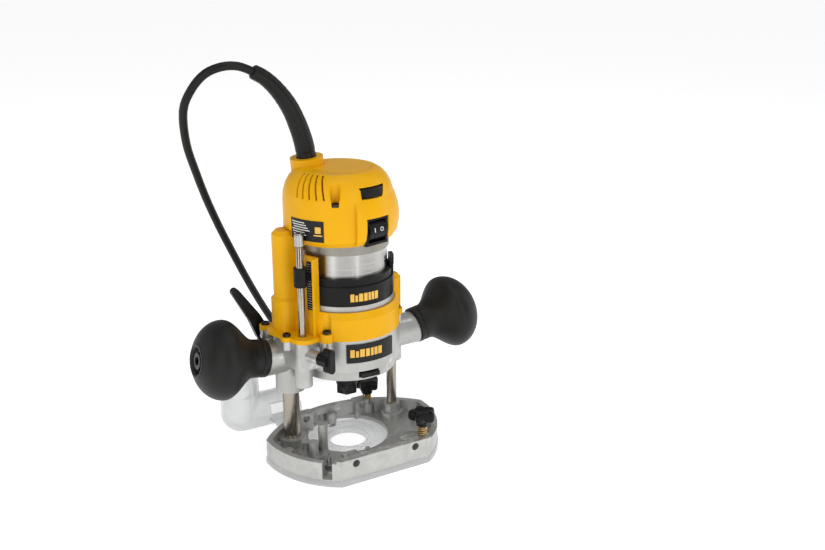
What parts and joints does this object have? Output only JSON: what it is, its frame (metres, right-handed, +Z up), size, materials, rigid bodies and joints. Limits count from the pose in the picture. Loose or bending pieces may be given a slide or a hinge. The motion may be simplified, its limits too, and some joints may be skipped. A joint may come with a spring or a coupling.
{
  "type": "trim router",
  "caption": "Compact plunge trim router: motor unit with cap and collet clamped in a two-column base with ball handles, depth turret, dust port and stored cord.",
  "frame": {"origin": "spindle axis at the underside of the base plate", "axes": "+Z up the spindle axis, +X towards the right handle, -Y towards the straight front edge of the base"},
  "size_m": [0.2574, 0.2786, 0.3223],
  "materials": {
    "clear_plastic": "clear, slightly smoky",
    "cast_alloy": "as cast, bead blasted",
    "sleeve_alloy": "turned, bright",
    "neck_alloy": "satin",
    "steel": "ground",
    "brass": "plain",
    "black_plastic": "matt",
    "label_black": "printed film",
    "black_steel": "black oxide",
    "handle_black": "soft matt",
    "yellow_plastic": "satin",
    "motor_core": "varnished laminations",
    "copper": "wound core",
    "cord_rubber": "matt"
  },
  "bodies": {
    "base": {"sub_base": "clear_plastic", "sub_base_screws": "black_steel", "base_casting": "cast_alloy", "base_notch_bolt": "steel", "column_left": "steel", "column_right": "steel", "knob_spring_front": "brass", "knob_spring_rear": "brass", "turret_pivot": "black_steel", "dust_chute": "clear_plastic", "dust_chute_screw": "steel", "return_spring": "steel", "cord_coil": "cord_rubber", "plug": "black_plastic", "cord": "cord_rubber"},
    "carriage": {"carriage_casting": "cast_alloy", "bush_left": "brass", "bush_right": "brass", "column_cover": "yellow_plastic", "cover_screws": "black_steel", "depth_scale": "label_black", "front_badge": "label_black", "handle_left": "handle_black", "handle_right": "handle_black", "handle_bolt_left": "black_steel", "handle_bolt_right": "black_steel", "lever_bolt": "steel", "clamp_bolt": "steel", "motor_sleeve": "sleeve_alloy", "motor_nose": "cast_alloy", "neck_ring": "neck_alloy", "cap_housing": "yellow_plastic", "cap_top_panel": "yellow_plastic", "cap_screws": "black_steel", "rating_plate": "label_black", "switch_bezel": "black_plastic", "stator": "motor_core", "lower_bearing": "steel", "cord_boot": "cord_rubber"},
    "spindle": {"spindle_shaft": "steel", "armature": "copper", "cooling_fan": "black_plastic", "collet": "steel"},
    "turret": {"turret": "sleeve_alloy"},
    "guide_knob_front": {"guide_knob_front": "black_plastic"},
    "guide_knob_rear": {"guide_knob_rear": "black_plastic"},
    "plunge_lock_lever": {"plunge_lock_lever": "black_plastic"},
    "clamp_lever": {"clamp_lever": "black_plastic"},
    "depth_rod": {"depth_rod": "steel"},
    "rod_knob": {"rod_knob": "sleeve_alloy"},
    "rod_pointer": {"rod_pointer": "black_plastic"},
    "depth_lock_knob": {"depth_lock_knob": "black_plastic"},
    "adjusting_ring": {"adjusting_ring": "black_plastic"},
    "ring_tab_front": {"ring_tab_front": "black_plastic"},
    "ring_tab_rear": {"ring_tab_rear": "black_plastic"},
    "speed_dial": {"speed_dial": "black_plastic"},
    "switch_rocker": {"switch_rocker": "black_plastic"},
    "collet_nut": {"collet_nut": "black_steel"},
    "spindle_lock_button": {"spindle_lock_button": "black_plastic"}
  },
  "joints": [
    {"name": "plunge", "type": "slide", "parent": "base", "child": "carriage", "axis": [0, 0, -1], "range_m": [-0.021, 0.033], "stiffness_N_per_m": 900, "springref_m": -0.055, "deforming": ["return_spring", "cord"]},
    {"name": "turret_turn", "type": "hinge", "parent": "base", "child": "turret", "pos_m": [-0.0433, -0.02495, 0.0118], "axis": [0, 0, 1], "continuous": true},
    {"name": "guide_knob_front_turn", "type": "hinge", "parent": "base", "child": "guide_knob_front", "pos_m": [0.0385, -0.058, 0.037], "axis": [0, 0, 1], "continuous": true},
    {"name": "guide_knob_rear_turn", "type": "hinge", "parent": "base", "child": "guide_knob_rear", "pos_m": [0.0345, 0.029, 0.032], "axis": [0, 0, 1], "continuous": true},
    {"name": "plunge_lock_turn", "type": "hinge", "parent": "carriage", "child": "plunge_lock_lever", "pos_m": [-0.057, 0.029, 0.098], "axis": [0, -1, 0], "range_deg": [0, 15]},
    {"name": "clamp_lever_turn", "type": "hinge", "parent": "carriage", "child": "clamp_lever", "pos_m": [0.0155, 0.05, 0.097], "axis": [-1, 0, 0], "range_deg": [0, 90]},
    {"name": "depth_rod_slide", "type": "slide", "parent": "carriage", "child": "depth_rod", "axis": [0, 0, 1], "range_m": [0, 0.014]},
    {"name": "rod_knob_turn", "type": "hinge", "parent": "depth_rod", "child": "rod_knob", "pos_m": [-0.0473, -0.01802, 0.1908], "axis": [0, 0, 1], "continuous": true},
    {"name": "rod_pointer_slide", "type": "slide", "parent": "depth_rod", "child": "rod_pointer", "axis": [0, 0, 1], "range_m": [-0.029, 0]},
    {"name": "depth_lock_turn", "type": "hinge", "parent": "carriage", "child": "depth_lock_knob", "pos_m": [-0.037, -0.043, 0.098], "axis": [-0.3812, 0.9245, 0], "range_deg": [-60, 60]},
    {"name": "adjusting_ring_turn", "type": "hinge", "parent": "carriage", "child": "adjusting_ring", "pos_m": [0, 0, 0.147], "axis": [0, 0, 1], "continuous": true},
    {"name": "ring_tab_front_press", "type": "slide", "parent": "adjusting_ring", "child": "ring_tab_front", "axis": [-0.9063, 0.4226, 0], "range_m": [0, 0.001], "stiffness_N_per_m": 800},
    {"name": "ring_tab_rear_press", "type": "slide", "parent": "adjusting_ring", "child": "ring_tab_rear", "axis": [0.0872, -0.9962, 0], "range_m": [0, 0.001], "stiffness_N_per_m": 800},
    {"name": "speed_dial_turn", "type": "hinge", "parent": "carriage", "child": "speed_dial", "pos_m": [0.004, -0.0263, 0.2255], "axis": [0, 0, 1], "range_deg": [0, 300]},
    {"name": "switch_rocker_tilt", "type": "hinge", "parent": "carriage", "child": "switch_rocker", "pos_m": [0.00577, -0.036, 0.196], "axis": [0.9744, 0.225, 0], "range_deg": [0, 20]},
    {"name": "spindle_spin", "type": "hinge", "parent": "carriage", "child": "spindle", "pos_m": [0, 0, 0.1], "axis": [0, 0, 1], "continuous": true},
    {"name": "collet_nut_turn", "type": "hinge", "parent": "spindle", "child": "collet_nut", "pos_m": [0, 0, 0.053], "axis": [0, 0, 1], "continuous": true},
    {"name": "spindle_lock_press", "type": "slide", "parent": "carriage", "child": "spindle_lock_button", "axis": [0, 1, 0], "range_m": [0, 0.0018], "stiffness_N_per_m": 500}
  ]
}
